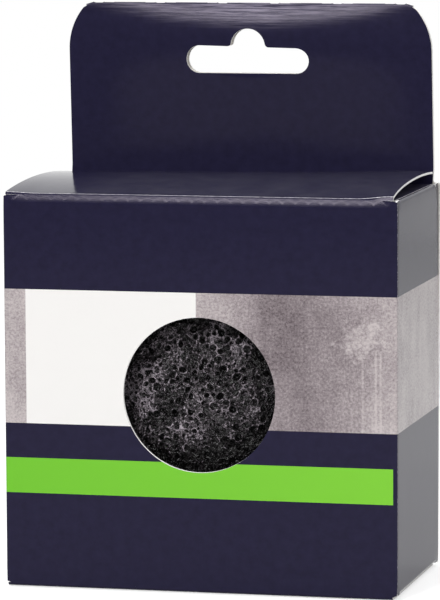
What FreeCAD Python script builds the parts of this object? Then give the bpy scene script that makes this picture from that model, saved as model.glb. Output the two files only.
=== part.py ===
import FreeCAD, Part
import math
import os

os.makedirs("parts", exist_ok=True)

# Hang-tab folding carton with a round window and a dome-shaped sponge inside.
# Sizes are in millimetres. The front faces -Y, +Z is up, and the origin is
# under the middle of the carton, on the surface that it stands on.

# Carton, measured over its outside faces
box_width = 91.0
box_depth = 48.0
box_height = 90.0
board = 0.5
corner_round = 0.4
corner_relief = 1.1

# Round window in the front panel
window_diameter = 35.2

# Creases: each panel ends in a rounded edge, and the flap starts just past it
crease_gap = 0.12

# Lid, which arches up between its crease and its tuck
lid_rise_middle = 2.25
lid_rise_rear = 1.55
tuck_length = 14.0
tuck_lean = 15.0
tuck_side_gap = 5.6
tuck_corner = 7.0
tuck_clearance = 0.3

# Dust flaps on the side panels
side_drop_top = 0.4
side_rise_bottom = 1.0
dust_length = 26.0
dust_front_gap = 1.9
dust_rear_gap = 3.6
dust_taper = 30.0
dust_corner = 4.0

# Hang tab: the back panel goes on upwards and is folded over to two plies
tab_width = 86.8
tab_height = 41.0
shoulder_radius = 15.0
shoulder_drop = 10.5
ply_overlap = 6.0
glue_film = 0.1
glue_margin = 5.0
tab_glue_height = 18.0

# Hanging slot, a long slot with a round notch above its middle
slot_width = 29.6
slot_height = 6.2
slot_drop = 13.4
notch_radius = 4.1
notch_rise = 4.3

# Glued side seam
seam_width = 12.0
seam_end_gap = 5.0
seam_taper = 3.0

# Sponge
sponge_headroom = 8.3
sponge_side_gap = 3.0
sponge_front_gap = 2.0
sponge_back_gap = 7.0
sponge_lift = 0.3
sponge_edge_round = 9.0
sponge_dome_share = 0.74

# Places that follow from the sizes
half_w = box_width / 2
half_d = box_depth / 2
half_b = board / 2
front_axis_y = -half_d + half_b
back_inner_y = half_d - board
top_axis_z = box_height - half_b
bottom_axis_z = half_b
side_axis_x = half_w - half_b
side_top_z = box_height - side_drop_top - half_b
side_bottom_z = side_rise_bottom + half_b
ply_front_y = back_inner_y - glue_film - board
lid_half = half_w - corner_relief
plate_start = half_b + crease_gap
tab_half = tab_width / 2
tab_top_z = box_height + tab_height
fold_radius = board + glue_film / 2
fold_axis_z = tab_top_z - fold_radius
shoulder_angle = math.asin(shoulder_drop / shoulder_radius)
fold_half = tab_half - shoulder_radius * (1 - math.cos(shoulder_angle))
slot_z = tab_top_z - slot_drop


def vec(x, y, z):
    return FreeCAD.Vector(x, y, z)


def save(name, shape):
    shape.exportStep("parts/" + name + ".step")


def line(a, b):
    return Part.makeLine(a, b)


def arc(a, b, c):
    return Part.Arc(a, b, c).toShape()


def solid_from(edges, sweep):
    return Part.Face(Part.Wire(edges)).extrude(sweep)


def polygon(points, sweep):
    return Part.Face(Part.makePolygon(points + [points[0]])).extrude(sweep)


def round_edges(shape, radius, wanted):
    return shape.makeFillet(radius, [e for e in shape.Edges if wanted(e)])


def upright_at(edge, x, y):
    ends = [v.Point for v in edge.Vertexes]
    if len(ends) < 2:
        return False
    return all(abs(abs(p.x) - x) < 1e-6 and abs(p.y - y) < 1e-6 for p in ends)


def through_board(edge, axis):
    # True for a short edge that runs straight through the board.
    a, b = [v.Point for v in edge.Vertexes]
    return abs((b - a).Length - board) < 1e-6 and abs(abs(getattr(b - a, axis)) - board) < 1e-6


def double_rounded(place, low, high, sweep):
    # A panel's cross-section: straight faces with a full round at both ends.
    edges = [
        line(place(-half_b, low), place(-half_b, high)),
        arc(place(-half_b, high), place(0, high + half_b), place(half_b, high)),
        line(place(half_b, high), place(half_b, low)),
        arc(place(half_b, low), place(0, low - half_b), place(-half_b, low)),
    ]
    return solid_from(edges, sweep)


def tab_outline(y, low_z, thickness):
    # Straight sides, then a shoulder curving in to the fold at each side.
    start_z = fold_axis_z - shoulder_drop
    mid = shoulder_angle / 2
    mid_x = tab_half - shoulder_radius * (1 - math.cos(mid))
    mid_z = start_z + shoulder_radius * math.sin(mid)
    edges = [
        line(vec(-tab_half, y, low_z), vec(-tab_half, y, start_z)),
        arc(vec(-tab_half, y, start_z), vec(-mid_x, y, mid_z), vec(-fold_half, y, fold_axis_z)),
        line(vec(-fold_half, y, fold_axis_z), vec(fold_half, y, fold_axis_z)),
        arc(vec(fold_half, y, fold_axis_z), vec(mid_x, y, mid_z), vec(tab_half, y, start_z)),
        line(vec(tab_half, y, start_z), vec(tab_half, y, low_z)),
        line(vec(tab_half, y, low_z), vec(-tab_half, y, low_z)),
    ]
    return solid_from(edges, vec(0, thickness, 0))


def hanging_slot():
    run = slot_width - slot_height
    start_y = ply_front_y - 1
    reach = box_depth
    r = slot_height / 2
    bar = Part.makeBox(run, reach, slot_height, vec(-run / 2, start_y, slot_z - r))
    ends = [Part.makeCylinder(r, reach, vec(x, start_y, slot_z), vec(0, 1, 0)) for x in (-run / 2, run / 2)]
    notch_z = slot_z + r + notch_rise - notch_radius
    notch = Part.makeCylinder(notch_radius, reach, vec(0, start_y, notch_z), vec(0, 1, 0))
    return bar.multiFuse(ends + [notch]).removeSplitter()


def front_panel():
    panel = double_rounded(
        lambda n, z: vec(-half_w, front_axis_y + n, z), bottom_axis_z, top_axis_z, vec(box_width, 0, 0)
    )
    for sx in (-1, 1):
        for z, sz in ((0.0, 1), (box_height, -1)):
            corner = [
                vec(sx * (half_w + 1), -half_d - 1, z - sz),
                vec(sx * (lid_half - 1), -half_d - 1, z - sz),
                vec(sx * (half_w + 1), -half_d - 1, z + sz * (corner_relief + 1)),
            ]
            panel = panel.cut(polygon(corner, vec(0, board + 2, 0)))
    panel = round_edges(panel, corner_round, lambda e: upright_at(e, half_w, -half_d))
    hole = Part.makeCylinder(
        window_diameter / 2, board + 2, vec(0, -half_d - 1, box_height / 2), vec(0, 1, 0)
    )
    return panel.cut(hole)


def side_panel(sx):
    return double_rounded(
        lambda n, z: vec(sx * side_axis_x + n, -half_d + board, z),
        side_bottom_z, side_top_z, vec(0, box_depth - 2 * board, 0)
    )


def back_panel():
    panel = Part.makeBox(box_width, board, box_height, vec(-half_w, back_inner_y, 0))
    panel = round_edges(panel, corner_round, lambda e: upright_at(e, half_w, half_d))
    panel = panel.fuse(tab_outline(back_inner_y, box_height - corner_relief, board)).removeSplitter()
    return panel.cut(hanging_slot())


def hang_tab_front_ply():
    ply = tab_outline(ply_front_y, box_height - ply_overlap, board)
    outer = fold_radius
    inner = glue_film / 2
    mid_y = back_inner_y - inner

    def place(y, z):
        return vec(-fold_half, mid_y + y, fold_axis_z + z)

    edges = [
        arc(place(-outer, 0), place(0, outer), place(outer, 0)),
        line(place(outer, 0), place(inner, 0)),
        arc(place(inner, 0), place(0, inner), place(-inner, 0)),
        line(place(-inner, 0), place(-outer, 0)),
    ]
    fold = solid_from(edges, vec(2 * fold_half, 0, 0))
    return ply.fuse(fold).removeSplitter().cut(hanging_slot())


def hang_tab_glue():
    wide = tab_width - 2 * glue_margin
    low_z = slot_z - slot_height / 2 - glue_margin - tab_glue_height
    return Part.makeBox(wide, glue_film, tab_glue_height, vec(-wide / 2, back_inner_y - glue_film, low_z))


def seam_outline(inset, y, thickness):
    near_x = -half_w + board + inset
    far_x = -half_w + board + seam_width - inset
    low_z = side_bottom_z + seam_end_gap + inset
    high_z = box_height - ply_overlap - seam_end_gap - inset
    points = [
        vec(near_x, y, low_z),
        vec(far_x, y, low_z + seam_taper),
        vec(far_x, y, high_z - seam_taper),
        vec(near_x, y, high_z),
    ]
    return polygon(points, vec(0, thickness, 0))


def lid_arc():
    # Circle through the crease, the top of the arch and the tuck's crease.
    rear_y = ply_front_y - tuck_clearance - half_b
    ay, az = front_axis_y, top_axis_z
    my, mz = (front_axis_y + rear_y) / 2, top_axis_z + lid_rise_middle
    by, bz = rear_y, top_axis_z + lid_rise_rear
    d = 2 * (ay * (mz - bz) + my * (bz - az) + by * (az - mz))
    sa, sm, sb = ay * ay + az * az, my * my + mz * mz, by * by + bz * bz
    cy = (sa * (mz - bz) + sm * (bz - az) + sb * (az - mz)) / d
    cz = (sa * (by - my) + sm * (ay - by) + sb * (my - ay)) / d
    radius = math.hypot(ay - cy, az - cz)
    return cy, cz, radius, math.atan2(az - cz, ay - cy), math.atan2(bz - cz, by - cy)


def top_lid():
    cy, cz, radius, start, end = lid_arc()
    start = start - plate_start / radius
    mid = (start + end) / 2

    def place(offset, angle):
        return vec(-lid_half, cy + (radius + offset) * math.cos(angle), cz + (radius + offset) * math.sin(angle))

    tip = end - half_b / radius
    edges = [
        arc(place(half_b, start), place(half_b, mid), place(half_b, end)),
        arc(place(half_b, end), place(0, tip), place(-half_b, end)),
        arc(place(-half_b, end), place(-half_b, mid), place(-half_b, start)),
        line(place(-half_b, start), place(half_b, start)),
    ]
    return solid_from(edges, vec(2 * lid_half, 0, 0))


def bottom_panel():
    rear_y = back_inner_y - tuck_clearance - half_b

    def place(y, n):
        return vec(-lid_half, y, bottom_axis_z + n)

    start_y = front_axis_y + plate_start
    edges = [
        line(place(start_y, half_b), place(rear_y, half_b)),
        arc(place(rear_y, half_b), place(rear_y + half_b, 0), place(rear_y, -half_b)),
        line(place(rear_y, -half_b), place(start_y, -half_b)),
        line(place(start_y, -half_b), place(start_y, half_b)),
    ]
    return solid_from(edges, vec(2 * lid_half, 0, 0))


def tuck_flap(axis_y, axis_z, sz):
    # Made straight up or down from its crease, then leant in off the back panel.
    half = lid_half - tuck_side_gap
    near_z = axis_z + sz * plate_start
    far_z = axis_z + sz * tuck_length
    points = [vec(x, axis_y - half_b, z) for x, z in ((-half, near_z), (half, near_z), (half, far_z), (-half, far_z))]
    flap = polygon(points, vec(0, board, 0))
    flap = round_edges(flap, tuck_corner, lambda e: through_board(e, "y") and abs(e.Vertexes[0].Z - far_z) < 1e-6)
    flap.rotate(vec(0, axis_y, axis_z), vec(1, 0, 0), sz * tuck_lean)
    return flap


def dust_flap(sx, axis_z):
    rise = (dust_length - plate_start) * math.tan(math.radians(dust_taper))
    near_x = sx * (side_axis_x - plate_start)
    far_x = sx * (side_axis_x - dust_length)
    front_y = -half_d + board + dust_front_gap
    rear_y = back_inner_y - dust_rear_gap
    z = axis_z - half_b
    points = [
        vec(near_x, front_y, z), vec(far_x, front_y + rise, z), vec(far_x, rear_y, z), vec(near_x, rear_y, z)
    ]
    flap = polygon(points, vec(0, 0, board))
    return round_edges(flap, dust_corner, lambda e: through_board(e, "z") and abs(e.Vertexes[0].X - far_x) < 1e-6)


def sponge():
    # Domed towards the window, nearly flat at the back, round about a Y axis.
    low_z = board + sponge_lift
    room_z = side_top_z - half_b - sponge_headroom - low_z
    room_x = box_width - 2 * board - 2 * sponge_side_gap
    radius = min(room_z, room_x) / 2
    front_y = -half_d + board + sponge_front_gap
    back_y = back_inner_y - sponge_back_gap
    dome = (back_y - front_y) * sponge_dome_share
    sphere = (radius * radius + dome * dome) / (2 * dome)
    mid_r = radius / 2
    mid_y = front_y + sphere - math.sqrt(sphere * sphere - mid_r * mid_r)
    axis_z = low_z + radius

    def place(r, y):
        return vec(r, y, axis_z)

    edges = [
        line(place(0, back_y), place(radius, back_y)),
        line(place(radius, back_y), place(radius, front_y + dome)),
        arc(place(radius, front_y + dome), place(mid_r, mid_y), place(0, front_y)),
        line(place(0, front_y), place(0, back_y)),
    ]
    body = Part.Face(Part.Wire(edges)).revolve(vec(0, 0, axis_z), vec(0, 1, 0), 360)
    return round_edges(
        body, min(sponge_edge_round, (back_y - front_y - dome) * 0.95),
        lambda e: len(e.Vertexes) == 1 and abs(e.BoundBox.YMin - back_y) < 1e-6 and abs(e.BoundBox.YMax - back_y) < 1e-6
    )


save("front_panel", front_panel())
save("left_side_panel", side_panel(-1))
save("right_side_panel", side_panel(1))
save("back_panel", back_panel())
save("hang_tab_front_ply", hang_tab_front_ply())
save("hang_tab_glue", hang_tab_glue())
save("glue_flap", seam_outline(0, ply_front_y, board))
save("seam_glue", seam_outline(1.5, back_inner_y - glue_film, glue_film))

save("top_lid", top_lid())
save("top_tuck_flap", tuck_flap(ply_front_y - tuck_clearance - half_b, top_axis_z + lid_rise_rear, -1))
save("top_left_dust_flap", dust_flap(-1, side_top_z))
save("top_right_dust_flap", dust_flap(1, side_top_z))

save("bottom_panel", bottom_panel())
save("bottom_tuck_flap", tuck_flap(back_inner_y - tuck_clearance - half_b, bottom_axis_z, 1))
save("bottom_left_dust_flap", dust_flap(-1, side_bottom_z))
save("bottom_right_dust_flap", dust_flap(1, side_bottom_z))

save("sponge", sponge())
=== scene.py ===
# %% [markdown]
# # A konjac sponge in its hang-tab carton
# The real pack is one sheet of printed board, creased, folded and glued, with a
# black sponge behind a round window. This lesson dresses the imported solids: every
# panel becomes a thin sheet with a printed side, a plain side and a white cut edge,
# and the sponge becomes an open-pored dome. The frame is loaded first and never moved.

# %% Load the frame
import math
from functools import partial

import bpy
import numpy as np
from mathutils import Matrix, Vector, geometry, kdtree, noise


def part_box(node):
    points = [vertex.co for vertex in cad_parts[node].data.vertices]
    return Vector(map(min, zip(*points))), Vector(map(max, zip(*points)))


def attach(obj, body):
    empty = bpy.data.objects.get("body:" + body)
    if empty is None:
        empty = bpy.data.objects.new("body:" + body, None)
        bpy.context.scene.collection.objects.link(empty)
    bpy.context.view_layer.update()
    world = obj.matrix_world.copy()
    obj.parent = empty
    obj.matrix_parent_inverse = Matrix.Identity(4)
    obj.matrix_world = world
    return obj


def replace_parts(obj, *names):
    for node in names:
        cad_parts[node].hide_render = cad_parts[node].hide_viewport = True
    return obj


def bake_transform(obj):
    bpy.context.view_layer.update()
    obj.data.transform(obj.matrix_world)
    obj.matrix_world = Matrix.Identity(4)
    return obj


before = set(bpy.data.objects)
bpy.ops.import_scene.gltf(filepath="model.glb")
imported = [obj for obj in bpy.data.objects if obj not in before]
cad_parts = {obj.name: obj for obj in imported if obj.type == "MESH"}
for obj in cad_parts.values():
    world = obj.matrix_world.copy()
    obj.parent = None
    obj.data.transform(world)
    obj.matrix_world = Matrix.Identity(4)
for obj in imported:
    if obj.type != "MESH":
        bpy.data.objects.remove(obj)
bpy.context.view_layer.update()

# %% [markdown]
# ## Sizes read from the solids
# All lengths below are in millimetres, because board and print are measured that
# way. They come from the boxes of the CAD nodes, so a change in the source moves
# the looks with it. A mesh is turned into metres once, where it is made.

# %% Sizes
front_low, front_high = [v * 1000 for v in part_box("front_panel")]
ply_low, ply_high = [v * 1000 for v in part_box("hang_tab_front_ply")]
flap_low, flap_high = [v * 1000 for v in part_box("top_right_dust_flap")]
foot_z = (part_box("bottom_right_dust_flap")[0] * 1000).z
back_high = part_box("back_panel")[1] * 1000
lid_half = (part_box("top_lid")[1] * 1000).x
half_w = front_high.x
half_d = back_high.y
height = front_high.z
board = front_high.y - front_low.y
fold_z = back_high.z
tab_half = ply_high.x
corner = 0.45
print(f"carton {2 * half_w:.1f} x {2 * half_d:.1f} x {height:.1f} mm")
print(f"tab to {ply_high.z:.1f}, board {board:.2f} mm")

# %% [markdown]
# ## Camera
# The viewing angle was worked out from the photograph's straight edges: a long lens
# almost a metre away, 14 degrees to the right and a little above. A camera can be
# aimed with a constraint, but a matrix of its own axes also holds the slight roll.

# %% Camera
def in_scene(name, data):
    made = bpy.data.objects.new(name, data)
    bpy.context.scene.collection.objects.link(made)
    return made


yaw, pitch, roll = math.radians(13.95), math.radians(6.581), math.radians(-0.283)
aim = Vector((4.99, -half_d, 66.725)) / 1000
distance = 0.96414
focal_px, picture_px = 4307.35, 600
camera_data = bpy.data.cameras.new("photo_camera")
camera = in_scene("photo_camera", camera_data)
back = Vector((math.sin(yaw) * math.cos(pitch), -math.cos(yaw) * math.cos(pitch), math.sin(pitch)))
level = Vector((math.cos(yaw), math.sin(yaw), 0))
upright = back.cross(level)
right = level * math.cos(roll) + upright * math.sin(roll)
up = upright * math.cos(roll) - level * math.sin(roll)
axes = Matrix((right, up, back)).transposed().to_4x4()
camera.matrix_world = Matrix.Translation(aim + back * distance) @ axes
camera_data.lens = focal_px / picture_px * camera_data.sensor_width
camera_data.clip_start, camera_data.clip_end = 0.05, 20
bpy.context.scene.camera = camera
print("camera at", [round(v, 3) for v in camera.matrix_world.translation])

# %% [markdown]
# ## Small helpers for materials
# Colours are written as sRGB hex, as a printer or painter would read them off the
# object, and one function turns them to the linear values that shaders expect. One
# more adds a node, sets it, links it and gives back its main output, so that each
# finish reads as a list. The rest only name what several finishes repeat.

# %% Colour and node helpers
def linear(code):
    parts = [int(code[i:i + 2], 16) / 255 for i in (1, 3, 5)]
    return tuple(c / 12.92 if c <= 0.04045 else ((c + 0.055) / 1.055) ** 2.4 for c in parts) + (1.0,)


def add_node(tree, kind, inputs=(), **settings):
    # A kind of maths is followed by its operation, as in "Math ADD".
    kind, *operation = kind.split()
    made = tree.nodes.new("ShaderNode" + kind)
    if operation:
        made.operation = operation[0]
    for name, value in settings.items():
        setattr(made, name, value)
    for name, value in inputs.items() if isinstance(inputs, dict) else enumerate(inputs):
        if isinstance(value, bpy.types.NodeSocket):
            tree.links.new(value, made.inputs[name])
        else:
            made.inputs[name].default_value = value
    return next((output for output in made.outputs if output.enabled), None)


def new_finish(name):
    finish = bpy.data.materials.new(name)
    finish.use_nodes = True
    finish.node_tree.nodes.clear()
    return finish, partial(add_node, finish.node_tree)


# %% Ranges, distances and colour stops
smooth = {"interpolation_type": "SMOOTHSTEP"}
metre = 1000


def texture(place, size, detail, roughness=0.5, unit=1):
    # The size is in millimetres; unit is how many of them the place counts as one.
    return {"Vector": place, "Scale": unit / size, "Detail": detail, "Roughness": roughness}


def span(value, low, high, start=0.0, end=1.0):
    return {"Value": value, "From Min": low, "From Max": high, "To Min": start, "To Max": end}


def mixed(add, share, first, second, **settings):
    return add("Mix", {"Factor": share, "A": first, "B": second}, data_type="RGBA", **settings)


def away_from(add, value, line):
    gap = add("Math SUBTRACT", (value, line))
    return add("Math ABSOLUTE", (gap,))


def set_stops(colour, *stops):
    # A new ramp has two stops; the rest are added before they are placed in order.
    ramp = colour.node.color_ramp
    while len(ramp.elements) < len(stops):
        ramp.elements.new(1.0)
    for stop, (at, code) in zip(ramp.elements, stops):
        stop.position, stop.color = at, linear(code)


# %% [markdown]
# ## Printed, laminated carton board
# The outside is offset printed and covered with a thin gloss film, so the colour is
# even and the surface mirrors its surroundings softly. The print is laid out on the
# flat sheet: u runs round the carton and v runs up it, both in millimetres, stored
# as a UV map. Colour fields drawn in those coordinates stay put when a flap folds,
# which colours drawn in object space would not do.

# %% Print layout in sheet millimetres
band_low, band_high = 37.55, 68.18
stripe_low, stripe_high = 21.57, 29.63
white_left, white_right = -40.4, -0.63
stripe_end = half_w - 1.0
patch_at, patch_scale = (24.0, 58.0, 0.0), (1 / 19, 1 / 26, 0.0)
spatter_at = (37.4, 58.2, 0.0)
run_us, run_top = (37.6, 40.6, 41.7), 56.0
navy_ink, white_ink = linear("#211F36"), linear("#EDEBE9")
green_left, green_right = linear("#71C033"), linear("#7DC93A")
print(f"grey band {band_high - band_low:.1f} mm high, stripe {stripe_high - stripe_low:.1f} mm")


# %% Concrete-look print
def concrete_print(add, sheet, u, v):
    # Broad clouds, upright streaks, blotches and fine grit.
    tall = add("Mapping", {"Vector": sheet, "Scale": (1.0, 0.09, 1.0)})
    cloud = add("TexNoise", texture(sheet, 22, 4.0, 0.62))
    streak = add("TexNoise", texture(tall, 3.2, 3.0))
    blotch = add("TexNoise", texture(sheet, 4.5, 6.0, 0.7))
    grit = add("TexNoise", texture(sheet, 0.6, 3.0, 0.85))
    # A darker, damper-looking patch right of the window, as poured concrete has.
    patch = add("VectorMath SUBTRACT", (sheet, patch_at))
    patch = add("VectorMath MULTIPLY", (patch, patch_scale))
    patch = add("VectorMath LENGTH", (patch,))
    tone = add("MapRange", span(patch, 0.2, 1.5, -0.14, 0.17), **smooth)
    for layer, weight in ((cloud, 0.55), (streak, 0.2), (blotch, 0.3), (grit, 0.95)):
        tone = add("Math MULTIPLY_ADD", (layer, weight, tone))
    tone = add("Math SUBTRACT", (tone, 0.365))
    # A pale lime spatter near the right edge, with three thin runs below it.
    clump = add("TexNoise", texture(sheet, 1.5, 3.0, 0.6))
    ragged = add("VectorMath SUBTRACT", (sheet, spatter_at))
    ragged = add("VectorMath LENGTH", (ragged,))
    for layer, weight in ((blotch, -11.0), (clump, -12.0)):
        ragged = add("Math MULTIPLY_ADD", (layer, weight, ragged))
    lime = add("MapRange", span(ragged, -9.6, -7.0, 0.2, 0.0))
    below = add("Math LESS_THAN", (v, run_top))
    for run in run_us:
        drip = add("MapRange", span(away_from(add, u, run), 0.0, 0.4, 0.14, 0.0))
        drip = add("Math MULTIPLY", (drip, below))
        lime = add("Math MAXIMUM", (lime, drip))
    tone = add("Math ADD", (tone, lime))
    concrete = add("ValToRGB", {"Fac": tone})
    set_stops(concrete, (0.34, "#5E5458"), (0.62, "#958B8E"), (0.9, "#C4BBBB"))
    return concrete


# %% Colour fields of the print
def colour_fields(add, sheet, u, v):
    # Each field is where a sheet coordinate lies within half a width of a line.
    edges = ((v, band_low, band_high), (u, white_left, white_right), (v, stripe_low, stripe_high))
    band, panel, stripe = [add("Math COMPARE", (axis, (low + high) / 2, (high - low) / 2))
                           for axis, low, high in edges]
    on_left = add("Math LESS_THAN", (u, stripe_end))
    stripe = add("Math MULTIPLY", (stripe, on_left))
    concrete = concrete_print(add, sheet, u, v)
    in_band = mixed(add, panel, concrete, white_ink)
    # Solid ink is never quite even: a faint mottle follows the board's fibres.
    mottle = add("TexNoise", texture(sheet, 2.2, 4.0, 0.65))
    shade = add("MapRange", span(mottle, 0.3, 0.7, 0.86, 1.14))
    navy = mixed(add, 1.0, navy_ink, shade, blend_type="MULTIPLY")
    colour = mixed(add, band, navy, in_band)
    across = add("MapRange", span(u, -half_w, half_w))
    green = mixed(add, across, green_left, green_right)
    return mixed(add, stripe, colour, green)


# %% [markdown]
# ## Wear on the print, and painted highlights
# Ink cracks along the scored creases and lets the white board show as specks; on the
# front's shoulder and down its corners the pale specks are also a painted highlight.
# Round the tab's fold the film is stretched: it wrinkles along the fold and whitens,
# most in the middle, and the whitening is also a painted sheen. Both could be painted
# by hand; as distances from a crease they follow the sizes of the carton, and the same
# numbers also drive the relief and the gloss.

# %% Cracked ink along the creases, partly painted highlight
shoulder_v = height - 0.75
# Where each crease lies, how far its cracks reach and how strong they are. The second line, on the front's
# shoulder, is also a painted highlight.
crease_lines = ((height + 0.15, 0.3, 0.63), (shoulder_v, 0.7, 0.26), (0.1, 0.35, 0.4))
# The line of specks down the front corners is also a painted highlight.
corner_line = (half_w + 0.1, 0.35, 0.42)


def cracks_and_highlights(add, sheet, v, from_front):
    lines = [(v, *line) for line in crease_lines] + [(from_front, *corner_line)]
    gaps = [(away_from(add, axis, line), reach, most) for axis, line, reach, most in lines]
    nears = [add("MapRange", span(gap, 0.0, reach, most, 0.0), **smooth)
             for gap, reach, most in gaps]
    crack = nears[0]
    for near in nears[1:]:
        crack = add("Math MAXIMUM", (crack, near))
    drawn_out = add("Mapping", {"Vector": sheet, "Scale": (0.55, 2.6, 1.0)})
    speck = add("TexNoise", texture(drawn_out, 1 / 1.5, 5.0, 0.75))
    return crack, speck


# %% Strained film and painted sheen at the tab's fold
tab_fold_v = fold_z + 0.8
tab_fold_u = 2 * (half_w + half_d) - 1.0
lens_rise = 5.0 / 39 ** 2


def strained_film_and_sheen(add, sheet, u, v):
    from_fold = away_from(add, v, tab_fold_v)
    from_mid = add("Math SUBTRACT", (u, tab_fold_u))
    from_mid = add("Math MULTIPLY", (from_mid, from_mid))
    lens = add("Math MULTIPLY_ADD", (from_mid, lens_rise, from_fold))
    strained = add("MapRange", span(lens, 0.4, 7.5, 1.0, 0.0), **smooth)
    along = add("Mapping", {"Vector": sheet, "Scale": (0.05, 1.0, 1.0)})
    lines = add("TexNoise", texture(along, 0.5, 3.0, 0.6))
    lines = add("MapRange", span(lines, 0.38, 0.66))
    strain = add("Math MULTIPLY", (strained, lines))
    # Painted sheen: the whitening is strongest in the middle of the fold and stands in part for the sheen
    # there.
    most = add("MapRange", span(from_mid, 0.0, 170.0, 0.68, 0.47), **smooth)
    white = add("Math MULTIPLY", (strain, most))
    return lens, strain, white


# %% Printed board material
def make_printed_board(name, smoothest, roughest):
    finish, add = new_finish(name)
    sheet = add("UVMap", uv_map="sheet")
    split = add("SeparateXYZ", {"Vector": sheet}).node.outputs
    u, v = split["X"], split["Y"]
    from_front = add("Math ABSOLUTE", (u,))
    colour = colour_fields(add, sheet, u, v)
    crack, speck = cracks_and_highlights(add, sheet, v, from_front)
    wear_and_highlight = add("Math ADD", (crack, speck))
    wear_and_highlight = add("MapRange", span(wear_and_highlight, 0.86, 1.12), **smooth)
    lens, strain, white = strained_film_and_sheen(add, sheet, u, v)
    # Painted reflection: a faint pale haze lightens the lid's film, less at the left, where the lid already
    # mirrors the white surround.
    rub_and_haze = add("TexNoise", texture(sheet, 7.0, 5.0, 0.7))
    painted_haze = add("MapRange", span(v, height, height + 2.0))
    on_lid = add("Math LESS_THAN", (from_front, half_w))
    clear_of_left_gleam = add("MapRange", span(u, -38.0, -22.0))
    for share in (on_lid, clear_of_left_gleam, rub_and_haze, 0.064):
        painted_haze = add("Math MULTIPLY", (painted_haze, share))
    # Painted light in the mix: the pale specks are partly a painted highlight, the whitened fold partly a
    # painted sheen, and the lid's haze a painted reflection.
    for share, code in ((wear_and_highlight, "#D9D6DC"), (white, "#A79FB2"), (painted_haze, "#E4E2E6")):
        colour = mixed(add, share, colour, linear(code))
    # Cracked ink is rough, and the film is dulled where it was stretched, which softens the sheen's edge.
    rough = add("MapRange", span(rub_and_haze, 0.3, 0.75, smoothest, roughest))
    rough = add("Math MULTIPLY_ADD", (wear_and_highlight, 0.4, rough))
    from_shoulder = away_from(add, v, shoulder_v)
    for gap, near, far, most in ((lens, 0.0, 16.0, 0.2), (from_shoulder, 0.5, 3.5, 0.1)):
        dulled = add("MapRange", span(gap, near, far, most, 0.0))
        rough = add("Math ADD", (dulled, rough))
    # Relief: the board's fibres under the film, the strain lines and the crinkled cracks.
    fibre = add("TexNoise", texture(sheet, 0.9, 3.0, 0.6))
    relief = add("Math MULTIPLY_ADD", (strain, 2.8, fibre))
    crinkle = add("Math MULTIPLY", (crack, speck))
    relief = add("Math MULTIPLY_ADD", (crinkle, 6.0, relief))
    bump = add("Bump", {"Height": relief, "Strength": 0.5, "Distance": 0.00002})
    surface = add("BsdfPrincipled", {"Base Color": colour, "Roughness": rough, "IOR": 1.49, "Normal": bump,
                                     "Specular IOR Level": 0.13, "Specular Tint": linear("#FBF1FF")})
    add("OutputMaterial", {"Surface": surface})
    return finish


printed = make_printed_board("offset_printed_board_gloss_film", 0.08, 0.15)
bare_print = make_printed_board("offset_printed_board_no_film", 0.7, 0.85)
print("made", printed.name, "with", len(printed.node_tree.nodes), "nodes, and", bare_print.name)

# %% [markdown]
# ## Plain board, cut edge and glue
# The inside of the sheet is uncoated and slightly warm, with fibres that scatter the
# light. Where a knife went through, the bright bleached core shows as a thin line.
# The glue is a dried milky film. All three are simple mixes of fibre noise.

# %% Plain board, cut edge, glue
def make_plain(name, dark, light, grain_mm, rough, depth):
    finish, add = new_finish(name)
    place = add("TexCoord").node.outputs["Object"]
    grain = add("TexNoise", texture(place, grain_mm, 5.0, 0.7, metre))
    tint = mixed(add, grain, linear(dark), linear(light))
    bump = add("Bump", {"Height": grain, "Strength": 0.3, "Distance": depth / 1000})
    surface = add("BsdfPrincipled", {"Base Color": tint, "Roughness": rough, "Normal": bump})
    add("OutputMaterial", {"Surface": surface})
    return finish


plain = make_plain("uncoated_board_back", "#D8D3CB", "#EBE8E2", 0.8, 0.85, 0.03)
cut_edge = make_plain("bleached_board_cut_edge", "#F3F2F0", "#FDFCFB", 0.4, 0.8, 0.03)
glue = make_plain("dried_dispersion_glue", "#DDD6BF", "#F0EBDA", 1.6, 0.35, 0.02)
print("made", plain.name, cut_edge.name, glue.name)

# %% [markdown]
# ## From a flat sheet to a folded panel
# Each panel is drawn flat, in sheet coordinates, then every point is carried to its
# place by that panel's own function place(u, v, w), where w is the depth into the
# board. Solidify could give thickness too, but doing it here keeps the printed side,
# the plain side and the cut edge on three materials, and keeps the sheet's UV map.

# %% Sheets of rows and columns
coarse, fine = 3.0, 0.1


def clamp(value):
    return min(1.0, max(0.0, value))


def spread(low, high, step):
    return np.linspace(low, high, max(2, int(round(abs(high - low) / step)) + 1))


def rows(low, high, step):
    return lambda u: spread(low, high, step)


def flipped(faces):
    return [tuple(reversed(f)) for f in faces]


def grid_sheet(us, vs_at):
    columns = [np.asarray(vs_at(u), float) for u in us]
    count = len(columns[0])
    points = np.array([(u, v) for u, column in zip(us, columns) for v in column])
    faces = [(i * count + j, (i + 1) * count + j, (i + 1) * count + j + 1, i * count + j + 1)
             for i in range(len(us) - 1) for j in range(count - 1)]
    return points, faces


# %% Sheets cut to an outline
smallest_face = 1e-9


def finder_of(points):
    tree = kdtree.KDTree(len(points))
    for i, p in enumerate(points):
        tree.insert(p, i)
    tree.balance()
    return tree


def inside(points, loop):
    x, y = points[:, 0], points[:, 1]
    hit = np.zeros(len(points), bool)
    for (x0, y0), (x1, y1) in zip(loop, np.roll(loop, -1, 0)):
        if y0 != y1:
            hit ^= ((y0 > y) != (y1 > y)) & (x < (x1 - x0) * (y - y0) / (y1 - y0) + x0)
    return hit


def on_board(points, loops):
    keep = inside(points, loops[0])
    for hole in loops[1:]:
        keep &= ~inside(points, hole)
    return keep


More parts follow.
